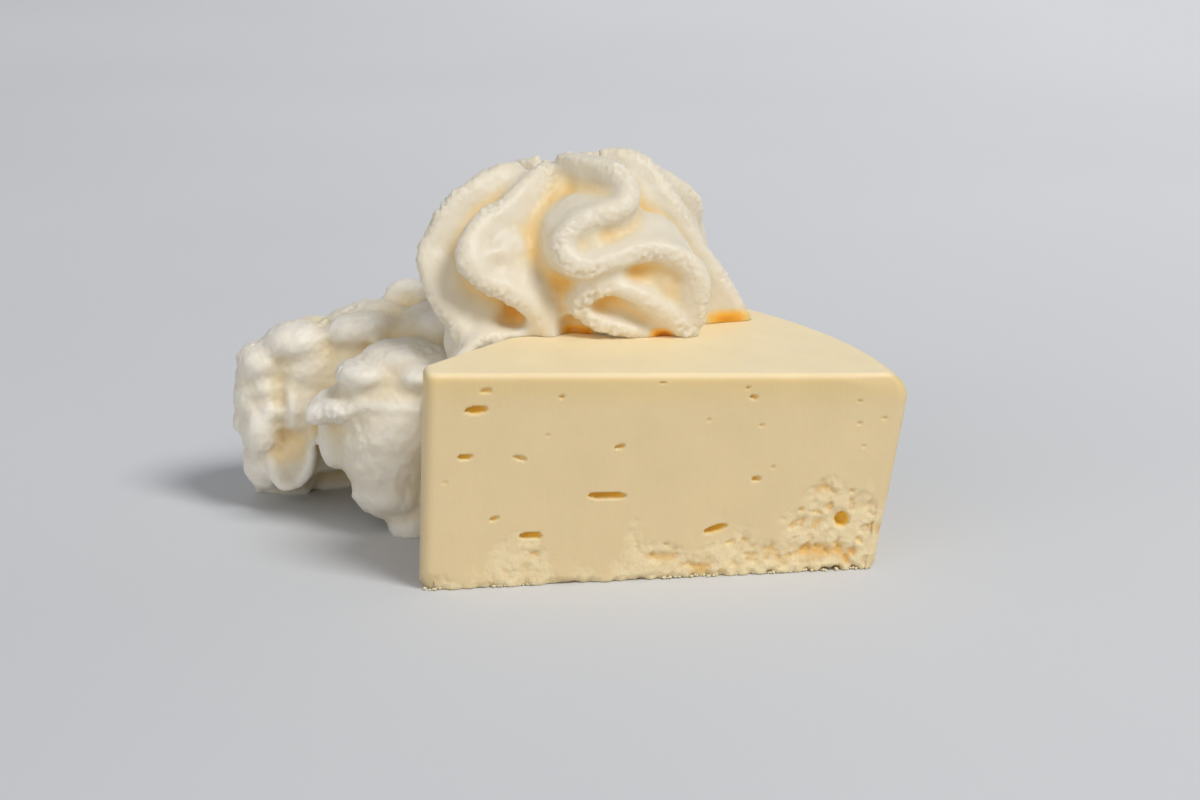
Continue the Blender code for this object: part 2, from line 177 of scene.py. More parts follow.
# air holes: x, z, half width, half height, depth, turn in degrees
airHoles = [
    (17.3, 40.4, 2.5, 0.8, 3.2, 0), (19.5, 44.5, 1.3, 0.6, 1.0, 0), (14.7, 30.1, 1.6, 0.6, 2.2, 0),
    (26.6, 29.3, 1.6, 0.5, 1.2, -20), (40.9, 46.1, 1.1, 0.45, 0.9, 0), (35.8, 42.5, 0.6, 0.4, 0.9, 0),
    (48.3, 30.8, 1.2, 0.5, 1.4, 12), (45.4, 19.9, 4.0, 0.8, 3.8, -2), (28.7, 11.6, 2.6, 0.75, 3.0, 0),
    (20.7, 15.8, 1.1, 0.5, 1.1, 15), (55.3, 5.4, 0.7, 1.1, 1.4, 0), (32.7, 34.2, 0.6, 0.3, 0.4, 0),
    (10.3, 24.5, 0.6, 0.3, 0.4, 0), (51.8, 9.0, 0.6, 0.4, 0.9, 0), (57.8, 44.9, 0.8, 0.4, 0.8, 0),
    (76.4, 42.8, 0.5, 0.4, 0.7, 0), (77.7, 40.7, 0.9, 0.5, 1.3, -15), (67.8, 36.0, 0.6, 0.35, 0.4, 0),
    (79.5, 34.3, 0.6, 0.35, 0.5, 0), (101.2, 38.8, 0.5, 0.4, 0.5, 0), (101.2, 33.8, 0.5, 0.4, 0.5, 0),
    (106.8, 34.7, 0.6, 0.35, 0.5, 0), (102.2, 28.6, 0.5, 0.35, 0.4, 0), (78.3, 22.2, 1.0, 0.6, 1.4, 0),
    (82.0, 24.7, 0.5, 0.35, 0.5, 0), (99.9, 18.4, 0.7, 0.6, 1.3, 0), (69.2, 11.2, 2.8, 0.8, 2.8, 16),
    (72.6, 7.8, 1.3, 0.8, 1.8, 15), (91.5, 13.9, 2.2, 0.6, 1.6, -12), (97.6, 11.8, 1.7, 1.7, 3.4, 0),
    (105.0, 10.3, 0.9, 0.9, 1.8, 0), (101.7, 6.8, 1.5, 0.9, 1.6, -35), (92.3, 6.0, 1.3, 0.7, 1.4, -5),
    (97.0, 6.1, 1.7, 0.8, 1.5, -15), (86.7, 4.1, 1.3, 0.8, 1.2, 15), (58.4, 8.3, 0.8, 0.45, 1.2, 0),
    (63.5, 3.2, 1.7, 0.9, 1.0, -15), (73.3, 2.9, 1.0, 0.7, 1.2, 15), (70.6, 1.4, 1.2, 0.6, 1.4, 10),
    (76.2, 4.8, 0.9, 0.6, 1.2, 0), (78.2, 3.3, 0.7, 0.5, 0.9, 0), (88.6, 14.6, 0.8, 0.5, 1.4, 0),
]
# height of the torn zone at the foot of the front face, at places along x
tornHeight = [(5, 3.0), (18, 4.0), (23, 12.5), (30, 13.5), (35, 4.5), (46, 5.0), (51, 13.0), (60, 10.5),
              (66, 8.0), (74, 12.5), (81, 9.0), (86, 16.0), (94, 21.5), (104, 19.5), (110, 14.0)]
torn = {
    "edgeWaves": (5.0, 2.0),        # how far the zone's upper edge wanders, in broad and in small waves
    "fade": (-0.5, 5.5),            # below that edge
    "growsAlong": (60, 98),         # x, from the mild end to the worst
    "mildShare": 0.6,
    "least": 0.12,                  # how deep the zone lies at least
    "curdLevel": 0.15,
    "curdHeight": 1.1,
    "grains": (0.16, 0.12),
    "pits": 0.4,
    "ragged": 1.6,                  # the lower edge
    "chip": 2.2,                    # at the point
}


def topZ(x):
    return cake["height"] - cake["topFall"] * x


def arc(centre, radius, start, end, count):
    angles = [start + (end - start) * i / count for i in range(count + 1)]
    return [Vector((centre[0] + radius * math.cos(a), centre[1] + radius * math.sin(a))) for a in angles]


def leftOf(way):
    return Vector((-way.y, way.x))


def meetLines(p, along, q, other):
    return p + along * ((q - p).cross(other) / along.cross(other))


def meetCircle(p, along, radius):
    near = p - along * p.dot(along)
    return near + along * math.sqrt(radius ** 2 - near.length_squared)


def sliceOutline(cutInset, rimInset, lean, rim, columns, others):
    # seen from above, counter-clockwise from the left end of the front face
    corner = max(cake["cornerRound"] - cutInset, 0.3)
    rim -= rimInset
    frontWay = Vector((1, 0))
    backWay = -Vector((math.cos(cake["angle"]), math.sin(cake["angle"])))
    tipWay = Vector((0, -1))
    front = Vector((0, cutInset + corner))
    back = Vector((cake["backStart"], 0)) + leftOf(backWay) * (cutInset + lean + corner)
    tip = Vector((cake["tipFacet"] + lean * 1.3 + cutInset + corner, 0))
    frontRim = meetCircle(front, frontWay, rim - corner)
    backRim = meetCircle(back, -backWay, rim - corner)
    backTip = meetLines(back, backWay, tip, tipWay)
    frontTip = meetLines(front, frontWay, tip, tipWay)
    first = math.atan2(frontRim.y, frontRim.x)
    last = math.atan2(backRim.y, backRim.x)
    points = [frontTip.lerp(frontRim, i / columns) - Vector((0, corner)) for i in range(columns + 1)]
    points += arc(frontRim, corner, -math.pi / 2, first, 8)[1:]
    points += arc((0, 0), rim, first, last, others)[1:]
    points += arc(backRim, corner, last, cake["angle"] + math.pi / 2, 6)[1:]
    points += [backRim.lerp(backTip, i / others) - leftOf(backWay) * corner for i in range(1, others + 1)]
    points += arc(backTip, corner, cake["angle"] + math.pi / 2, math.pi, 5)[1:]
    points += [backTip.lerp(frontTip, i / 12) - Vector((corner, 0)) for i in range(1, 13)]
    points += arc(frontTip, corner, math.pi, 1.5 * math.pi, 9)[1:-1]
    return points


def holeDepth(x, z):  # of the deepest air hole there; those in the torn foot are shallower and softer
    deepest = 0.0
    wobble = 0.35 * noise.noise(Vector((x * 0.9, 5.0, z * 0.9)))
    for hx, hz, width, height, depth, turn in airHoles:
        if abs(x - hx) > 5 or abs(z - hz) > 3:
            continue
        a = math.radians(turn)
        u = ((x - hx) * math.cos(a) + (z - hz) * math.sin(a)) / width
        v = ((z - hz) * math.cos(a) - (x - hx) * math.sin(a)) / height
        crumbly = ease(0.0, 1.5, between(tornHeight, hx) - hz) * (depth < 2.5)
        inside = 1 + wobble * (1 + 2 * crumbly) - (abs(u) ** 2.4 + abs(v) ** 2.2)
        if inside > 0:
            wall = min(inside, 1.0) ** (0.45 + 0.5 * crumbly)
            deepest = max(deepest, depth * (1 - 0.6 * crumbly) * wall)
    return deepest


def tornDepth(x, z):
    # soft curds broken out of the foot: their depth, the torn zone's share, and the ragged lower edge
    spot = Vector((x, cake["seed"], z))
    broad, small = torn["edgeWaves"]
    edge = between(tornHeight, x) + broad * noise.noise(spot * 0.22) + small * noise.noise(spot * 0.8)
    zone = ease(*torn["fade"], edge - z)
    worst = torn["mildShare"] + (1 - torn["mildShare"]) * ease(*torn["growsAlong"], x)
    curds = noise.noise(spot * 0.2 + Vector((7, 0, 0))) + 0.5 * noise.noise(spot * 0.45)
    coarse, fine = torn["grains"]
    grains = coarse * noise.noise(spot * 0.8) + fine * noise.noise(spot * 1.7)
    pits = ease(0.16, 0.4, noise.noise(spot * 0.5 + Vector((0, 9, 0))))
    depth = torn["least"] + worst * max(torn["curdLevel"] + torn["curdHeight"] * curds, 0.0)
    depth += (0.5 + 0.5 * worst) * grains
    depth += torn["pits"] * worst * pits
    ragged = max(0.5 + 1.3 * noise.noise(Vector((x * 0.45, 1.7, 0))), 0.0) * ease(1.8, 0, z)
    chip = torn["chip"] * ease(9.5, 5.0, x) * ease(4.5, 0.0, z)
    return max(zone * depth, 0.0), zone, torn["ragged"] * worst * ragged + chip


def reliefAt(i, p, z, columns, count):
    # how far point i of an outline is pushed in, and its hole, torn depth and torn zone
    side = ease(columns + 30, columns + 2, i) if i > columns else 1.0
    side = max(side, ease(count - 22, count - 6, i))
    if side <= 0:
        worn = max(0.4 + noise.noise(Vector((p.x * 0.3, p.y * 0.3, 0))), 0) * ease(2.5, 0, z)
        return 0.5 * worn, 0.0, 0.0, 0.0
    reachX = p.x if i <= columns else p.x + 0.8 * (p.y - 2)
    depth, zone, ragged = tornDepth(reachX, z)
    onFront = ease(-2, 6, i) * ease(columns + 7, columns - 4, i)
    hole = holeDepth(p.x, z) * onFront
    return (depth + ragged) * side + hole, hole, depth, zone


def sliceMesh(name, grow, relief):  # grown on all sides; with the relief, or plain to cut other pieces
    bm = bmesh.new()
    holeLayer = bm.verts.layers.float.new("hole")
    tornLayer = bm.verts.layers.float.new("torn")
    dentLayer = bm.verts.layers.float.new("dent")
    crumblyLayer = bm.verts.layers.float.new("crumbly")
    columns, rows, others = cake["fineGrid"] if relief else cake["plainGrid"]
    steps = cake["topSteps"]
    # each ring of points: its share of the side's height, and how far it has turned over the top edge;
    # the first one, with a turn of -1, is the foot
    levels = [(0.0, -1.0)] + [(i / rows, 0.0) for i in range(rows + 1)]
    levels += [(1.0, i / steps * math.pi / 2) for i in range(1, steps + 1)]
    rings = []
    for share, turn in levels:
        rim = cake["rimFloor"] + (cake["rimTop"] - cake["rimFloor"]) * share
        roundIn = 1 - math.cos(turn) if turn > 0 else 0.0
        footIn = cake["footRound"] if turn < 0 else 0.0
        cutInset = cake["cutRound"] * roundIn + footIn - grow
        rimInset = cake["rimRound"] * roundIn + footIn - grow
        outline = sliceOutline(cutInset, rimInset, cake["backLean"] * share, rim, columns, others)
        ring = []
        for i, p in enumerate(outline):
            nearRim = ease(*cake["rimZone"], p.length)
            rounding = cake["cutRound"] + (cake["rimRound"] - cake["cutRound"]) * nearRim
            high = topZ(p.x) - rounding
            z = cake["footRound"] + (high - cake["footRound"]) * share
            z += (rounding + grow) * math.sin(turn) if turn > 0 else 0.0
            z = 0.0 if turn < 0 else z
            push, hole, depth, zone = 0.0, 0.0, 0.0, 0.0
            if relief and turn <= 0:
                push, hole, depth, zone = reliefAt(i, p, z, columns, len(outline))
            x, y = p.x, p.y
            if i <= columns:
                y += push
            elif i > len(outline) - cake["tipColumns"]:
                x += push * 0.5
                y += push * 0.5
            else:
                x -= push * 0.8
            if turn < 0 and not relief:
                z -= cake["cutterFoot"]
            vert = bm.verts.new(place((x, y, z)))
            vert[holeLayer] = min(hole / cake["holeDepthShown"], 1.0)
            vert[tornLayer] = zone * ease(0.8, 0.0, depth)
            vert[dentLayer] = ease(0.4, 1.1, depth)
            vert[crumblyLayer] = zone
            ring.append(vert)
        rings.append(ring)
    if relief:  # the flat top, in rings that shrink to its middle
        middle = sum((v.co for v in rings[-1]), Vector()) / len(rings[-1])
        for share in cake["topRings"]:
            rings.append([bm.verts.new(middle.lerp(v.co, share)) for v in rings[len(levels) - 1]])
    for below, above in zip(rings, rings[1:]):
        for i in range(len(below)):
            j = (i + 1) % len(below)
            bm.faces.new((below[i], below[j], above[j], above[i]))
    bm.faces.new(rings[0][::-1])
    bm.faces.new(rings[-1])
    return linkMesh(bm, name)


# Crumbs that the knife dragged off, in the ragged foot of the front cut face
crumbs = {
    "stretches": [(4.0, 9.0), (20.0, 33.0), (57.0, 105.0)],   # along x
    "behindFace": (0.45, 1.25),
    "perSquareMm": 2.2,
    "smallest": 0.4,            # across
    "largest": 0.85,
    "flatness": 0.8,
    "lift": 0.14,
    "roughness": 0.35,
    "bumpSize": 0.45,
    "tilt": 0.3,                # radians, at most
    "seed": 4,
}


def crumbTree():
    # scatters little rough balls over a strip of floor, each with its own size, turn and shape
    tree = bpy.data.node_groups.new("crumbScatter", "GeometryNodeTree")
    face = tree.interface
    face.new_socket("Geometry", in_out="INPUT", socket_type="NodeSocketGeometry")
    for label in ("Density", "Smallest", "Largest", "Roughness"):
        face.new_socket(label, in_out="INPUT", socket_type="NodeSocketFloat")
    face.new_socket("Seed", in_out="INPUT", socket_type="NodeSocketInt")
    face.new_socket("Material", in_out="INPUT", socket_type="NodeSocketMaterial")
    face.new_socket("Geometry", in_out="OUTPUT", socket_type="NodeSocketGeometry")
    start = addNode(tree, "NodeGroupInput").outputs
    points = addNode(tree, "GeometryNodeDistributePointsOnFaces",
                     {"Mesh": start["Geometry"], "Density": start["Density"],
                      "Seed": start["Seed"]}).outputs["Points"]
    ball = addNode(tree, "GeometryNodeMeshIcoSphere", {"Radius": 0.5, "Subdivisions": 3}).outputs["Mesh"]
    standing = addNode(tree, "GeometryNodeTransform",
                       {"Geometry": ball, "Translation": (0, 0, 0.5 * crumbs["flatness"]),
                        "Scale": (1, 1, crumbs["flatness"])}).outputs[0]
    size = addNode(tree, "FunctionNodeRandomValue", {"Min": start["Smallest"], "Max": start["Largest"],
                                                     "Seed": start["Seed"]}, data_type="FLOAT")
    tilt = crumbs["tilt"]
    turn = addNode(tree, "FunctionNodeRandomValue", {"Min": (0, 0, 0), "Max": (tilt, tilt, 6.28),
                                                     "Seed": start["Seed"]}, data_type="FLOAT_VECTOR")
    spread = addNode(tree, "GeometryNodeInstanceOnPoints",
                     {"Points": points, "Instance": standing, "Rotation": turn.outputs["Value"],
                      "Scale": [out for out in size.outputs if out.enabled][0]}).outputs[0]
    real = addNode(tree, "GeometryNodeRealizeInstances", {"Geometry": spread}).outputs[0]
    bumps = addNode(tree, "ShaderNodeTexNoise", {"Scale": 1 / (crumbs["bumpSize"] * mm),
                                                 "Detail": 2.0}).outputs["Color"]
    bumps = addNode(tree, "ShaderNodeVectorMath", {0: bumps, 1: (0.5, 0.5, 0.5)},
                    operation="SUBTRACT").outputs[0]
    bumps = addNode(tree, "ShaderNodeVectorMath", {0: bumps, "Scale": start["Roughness"]},
                    operation="SCALE").outputs[0]
    shaped = addNode(tree, "GeometryNodeSetPosition", {"Geometry": real, "Offset": bumps}).outputs[0]
    pale = addNode(tree, "GeometryNodeStoreNamedAttribute",
                   {"Geometry": shaped, "Name": "torn", "Value": 1.0},
                   data_type="FLOAT", domain="POINT").outputs[0]
    done = addNode(tree, "GeometryNodeSetMaterial",
                   {"Geometry": pale, "Material": start["Material"]}).outputs[0]
    addNode(tree, "NodeGroupOutput", {"Geometry": done})
    return tree


def crumbsPiece(material):
    bm = bmesh.new()
    near, far = crumbs["behindFace"]
    for left, right in crumbs["stretches"]:
        corners = ((left, near), (right, near), (right, far), (left, far))
        bm.faces.new([bm.verts.new(place((x, y, crumbs["lift"]))) for x, y in corners])
    strip = linkMesh(bm, "crumbStrip")
    scatter = strip.modifiers.new("scatter", "NODES")
    scatter.node_group = crumbTree()
    setInputs(scatter, {"Density": crumbs["perSquareMm"] / mm ** 2, "Smallest": crumbs["smallest"] * mm,
                        "Largest": crumbs["largest"] * mm, "Roughness": crumbs["roughness"] * mm,
                        "Seed": crumbs["seed"], "Material": material})
    return freeze(strip, "cake_crumbs", material)


# Whipped cream: each fold is a crest with hollow flanks that widen towards the heart of its piece.
# A fold has the points that its crest passes, the crest's radius, the root's half width and the reach.
cream = {
    "pathStep": 1.5,
    "firstVoxel": 0.8,      # while the folds are fused
    "soften": 9,            # rounds
    "gap": 0.06,            # to what the cream lies on
    "margin": 1.2,          # near the solids' box, where the cream is squeezed softly
}

# The piped cream on the slice
mound = {
    "voxel": 0.46,
    "fillet": 0.9,
    "heart": (Vector((46, 60, 50)), Vector((46, 57, 68))),
    "foot": Vector((47.0, 57.0, 48.0)),     # of the folds behind
    "size": Vector((38.0, 26.0, 37.0)),
    "backFolds": 5,
    "backFold": (2.6, 9.0, 14.0),
    "backSweep": 155,                       # degrees, as the next two
    "backSwirl": 13,
    "backClimb": (74, 80),
    "seed": 1.0,
    # what the relief nodes do: lumps of a loose hand, ripples, torn little teeth along the crests
    "relief": {
        "Lump Size": 11.0, "Lump Height": 0.8,
        "Ripple Size": 3.6, "Ripple Height": 0.3,
        "Fray Size": 1.2, "Fray Height": 1.8, "Fray Reach": 3.6, "Fray Least": 0.03,
        "Hollow Scale": 4.6, "Hollow Shift": 0.0, "Crispness": 0.25,
    },
    # where the cream lifts off the slice and light pools under it: x, y, reach, height
    "lightSpots": [(44.0, 37.0, 5.0, 3.2), (62.5, 36.0, 4.5, 3.0), (79.0, 53.0, 9.5, 4.0)],
}
moundFolds = {
    "left": ([(33, 56, 84), (27, 52, 84), (21, 49, 81), (15, 47, 77), (11, 45, 71), (8, 43, 65),
              (10, 39, 57), (14, 36, 51), (19, 33, 44)], 2.6, 7.5, 15),
    "leftInner": ([(38, 53, 84), (33, 47, 82), (28, 42, 78), (22, 38, 75), (18, 35, 71), (17, 32, 66),
                   (21, 31, 61), (27, 31, 58), (33, 32, 53), (38, 34, 44)], 2.7, 6.0, 13),
    "crown": ([(38, 55, 84), (40, 49, 81), (39, 45, 76), (37, 44, 70), (36, 48, 62)], 4.5, 9.0, 13),
    "middle": ([(42, 53, 86), (47, 47, 87), (53, 41, 86), (57, 36, 81), (54, 32, 77), (46, 31, 75),
                (40, 30, 71), (40, 28, 67), (44, 27, 64), (51, 28, 65), (60, 30, 67), (68, 31, 65),
                (73, 32, 59), (72, 34, 48)], 2.9, 8.0, 15),
    "arch": ([(43.5, 33, 51), (43.8, 31, 55), (47, 30, 58), (51.5, 29, 59), (57, 29, 57.2), (62, 30.5, 54),
              (67, 32, 50), (72, 35, 44)], 2.3, 4.5, 11),
    "archLip": ([(44, 32, 54.5), (44.8, 31, 52.6), (47, 30.8, 51), (50.5, 30.8, 49.8),
                 (57, 31.8, 48.2)], 1.9, 3.2, 8),
    "right": ([(52, 58, 86), (59, 57, 86), (65, 55, 82), (69, 52, 76), (74, 51, 67), (79, 51, 59),
               (84, 51, 51), (87, 51, 45)], 3.0, 10.0, 16),
    "foot": ([(16, 28, 45), (21, 31, 47), (28, 33, 47), (36, 35, 48)], 2.0, 5.0, 14),
}
moundCore = [  # centre, radii
    ((47, 61, 57), (31, 17, 25)),
    ((47, 58, 50), (32, 20, 8)),
    ((26, 52, 54), (10, 9, 15)),
    ((60, 45, 57), (14, 9, 10)),
    ((46.5, 37, 67.5), (6, 6.5, 5.5)),
    ((26.5, 42, 65), (8, 7, 8)),
    ((62, 41, 59), (11, 8, 7)),
    ((57, 39, 47.5), (8, 6, 4)),
    ((53, 39, 52), (10, 5.5, 5)),
    ((46, 42, 47), (7, 5, 3.5)),
]

# The heaped cream beside the slice: a far mass and a near mass
heap = {
    "voxel": 0.5,
    "fillet": 1.3,
    "heart": (Vector((-14, 74, 22)), Vector((44, 74, 26))),
    "backFolds": 7,
    "backFold": (3.0, 8.0, 12.0),
    "backY": 89.0,
    "backFrom": -26,        # the x of the first fold behind, and from there to the last
    "backSpan": 78,
    "backTall": (40, 7),    # mean height, and how much it varies
    "seed": 6.0,
    "relief": {
        "Lump Size": 9.0, "Lump Height": 0.75,
        "Ripple Size": 2.8, "Ripple Height": 0.65,
        "Fray Size": 1.2, "Fray Height": 1.5, "Fray Reach": 4.5, "Fray Least": 0.2,
        "Hollow Scale": 8.0, "Hollow Shift": 0.05, "Crispness": 0.6,
    },
}
heapFolds = {
    "ridge": ([(-10, 72, 45), (-5, 71, 46.5), (1, 71, 47.2), (7, 71, 47), (13, 71, 46.5)], 2.6, 4.5, 9),
    "shoulder": ([(-31, 70, 31), (-28.5, 70, 36.5), (-22, 70, 41), (-15, 70.5, 43.5),
                  (-9, 71, 45)], 2.0, 5.0, 9),
    "lip": ([(-16.3, 46, 27.8), (-14.5, 44.5, 29.8), (-10, 42, 31.2), (-4.5, 39, 31.6), (2, 37.3, 31.2),
             (8, 37, 30.6)], 1.6, 5.5, 9),
    "rib": ([(-21.5, 63, 31), (-21.2, 61.5, 28), (-21.2, 61, 24.5), (-21.3, 62, 20)], 1.2, 3.0, 7),
    "hem": ([(-15.5, 62, 20), (-16.3, 60.5, 16), (-17.5, 60, 11), (-19.8, 60, 7.4), (-22.3, 60, 6.3),
             (-25, 60.5, 7.3), (-26.6, 61.5, 10), (-26.6, 62.5, 13)], 1.4, 2.8, 8),
}
heapCore = [  # centre, radii
    ((-14, 76, 25), (17, 14, 19)),        # the far mass
    ((0, 74, 28), (20, 15, 20)),
    ((16, 68, 28), (20, 18, 21)),
    ((-22, 76, 15), (9, 11, 13)),
    ((38, 76, 20), (20, 13, 30)),
    ((3, 50, 22), (14, 14, 18)),          # the near mass
    ((12, 47, 10), (12, 10, 11)),
    ((22, 52, 21), (14, 14, 19)),
    ((10, 50, 36), (12, 11, 7)),
    ((-3, 67, 42.5), (9, 6.5, 4.4)),      # lobes on the far mass, from its ridge down to its foot
    ((8.5, 78, 49.2), (5.5, 3, 2.5)),
    ((15, 62, 43), (7, 8, 5.5)),
    ((-19, 69.5, 40), (8, 7.5, 4.8)),
    ((-27, 71, 35), (6, 7.5, 5.2)),
    ((-30, 72, 31), (3.4, 6, 3.4)),
    ((-15, 68.5, 33), (10, 6.5, 8)),
    ((-29, 71, 26), (5.1, 6.5, 7.5)),
    ((-26.5, 68, 29.5), (4, 5, 3.5)),
    ((-28, 68, 20), (4.6, 7, 8)),
    ((-26, 64.5, 24.5), (2.4, 3, 3)),
    ((-32.6, 70, 21), (2.4, 3, 2.4)),
    ((-17, 67, 25), (5, 5.5, 8.5)),
    ((-20.8, 68.5, 14), (5, 5, 6.5)),
    ((-27, 70, 11), (5.5, 6.5, 7)),
    ((5.5, 51, 40), (10.5, 9, 3.9)),      # lobes on the near mass
    ((-4, 47, 37.2), (6.5, 7.5, 3.6)),
    ((8.5, 44, 37.2), (6, 6, 2.6)),
    ((-14.2, 46.5, 28.6), (3.4, 3.4, 2.6)),
    ((-8, 46, 29.5), (7, 5.5, 3.6)),
    ((2, 46, 18), (11, 10, 13)),
    ((2.5, 47, 10.5), (10.5, 10.5, 8)),
    ((-10, 54, 21), (5, 6, 8)),
    ((5.5, 43, 2), (5.5, 5, 5)),
]
heapFrays = [  # crests that fray: along the far outline and over the near mass
    [(-33, 69, 20), (-35, 70, 24), (-34, 70, 29), (-32, 70, 33), (-28, 70, 39), (-21, 70, 44),
     (-15, 70, 45)],
    [(-10, 71, 45), (-5, 71, 48), (2, 71, 50), (9, 70, 50)],
    [(-10, 47, 38), (-6, 46, 42), (-1, 46, 43), (5, 46, 44), (11, 46, 44)],
    [(-18, 45, 28), (-15, 43.5, 30.5), (-9, 41, 32.5)],
]


def smoothPath(points, step):  # even steps along a Catmull-Rom curve through the points
    knots = [Vector(p) for p in points]
    knots = [knots[0] * 2 - knots[1]] + knots + [knots[-1] * 2 - knots[-2]]
    path = []
    for a, b, c, d in zip(knots, knots[1:], knots[2:], knots[3:]):
        count = max(int((c - b).length / step + 0.5), 1)
        for i in range(count):
            t = i / count
            path.append(0.5 * (2 * b + (c - a) * t + (2 * a - 5 * b + 4 * c - d) * t * t
                               + (3 * b - a - 3 * c + d) * t ** 3))
    path.append(knots[-2])
    return path


def nearestOn(line, point):
    a, b = line
    t = (point - a).dot(b - a) / (b - a).length_squared
    return a + (b - a) * min(max(t, 0.0), 1.0)


def addFold(bm, crest, tip, root, reach, heart):
    path = smoothPath(crest, cream["pathStep"])
    # the section: a round crest, then flanks that widen inward and draw in again at the root
    section = []
    for i in range(7):
        a = math.radians(-81 + 27 * i)
        section.append((tip - tip * math.cos(a), tip * math.sin(a)))
    flank = [(tip + (reach - tip) * q, tip + (root - tip) * q ** 1.3 * (1.9 - 1.3 * q * q))
             for q in (0.15, 0.3, 0.5, 0.7, 0.85, 1.0)]
    section += flank + [(s, -w) for s, w in reversed(flank)]
    rings = []
    for i, p in enumerate(path):
        along = (path[min(i + 1, len(path) - 1)] - path[max(i - 1, 0)]).normalized()
        inward = nearestOn(heart, p) - p
        inward = (inward - along * inward.dot(along)).normalized()
        side = along.cross(inward)
        size = 0.55 + 0.45 * ease(0, 4, min(i, len(path) - 1 - i))
        rings.append([bm.verts.new(place(p + (inward * s + side * w) * size)) for s, w in section])
    for a, b in zip(rings, rings[1:]):
        for i in range(len(a)):
            j = (i + 1) % len(a)
            bm.faces.new((a[i], a[j], b[j], b[i]))
    bm.faces.new(rings[0][::-1])
    bm.faces.new(rings[-1])


def addBall(bm, centre, radii):
    for v in bmesh.ops.create_icosphere(bm, subdivisions=4, radius=1.0)["verts"]:
        v.co = place(Vector(centre) + Vector(v.co[k] * radii[k] for k in range(3)))


def moundBack():  # folds that climb the side that the photograph doesn't show
    folds = []
    foot, size = mound["foot"], mound["size"]
    narrowing, rise = (math.radians(degrees) for degrees in mound["backClimb"])
    for k in range(mound["backFolds"]):
        start = math.radians(mound["backSweep"]) * (k + 0.5) / mound["backFolds"]
        crest = []
        for i in range(7):
            t = i / 6
            turn = start + math.radians(mound["backSwirl"]) * math.sin(2 * math.pi * t + 1.9 * k)
            out = math.cos(t * narrowing)
            crest.append((foot.x + size.x * out * math.cos(turn), foot.y + size.y * out * math.sin(turn),
                          foot.z + size.z * math.sin(t * rise)))
        folds.append((crest, *mound["backFold"]))
    return folds


def heapBack():  # upright folds along the hidden side
    folds = []
    count = heap["backFolds"]
    mean, varies = heap["backTall"]
    for k in range(count):
        x = heap["backFrom"] + heap["backSpan"] * k / (count - 1)
        tall = mean + varies * math.sin(0.8 * k)
        crest = []
        for i in range(5):
            t = i / 4
            crest.append((x + 5 * math.sin(2.2 * t * math.pi + 1.3 * k) + 6 * t,
                          heap["backY"] + 3 * math.sin(2.0 * k) - 17 * t ** 2.2,
                          -4 + (tall + 4) * math.sin(t * math.pi / 2)))
        folds.append((crest, *heap["backFold"]))
    return folds


def crestGuide(crests, name, shift):  # the crest lines alone, which the frayed edges follow
    bm = bmesh.new()
    for crest in crests:
        last = None
        for p in smoothPath(crest, 2.0):
            vert = bm.verts.new(place(p + Vector(shift)))
            if last:
                bm.edges.new((last, vert))
            last = vert
    return linkMesh(bm, name)


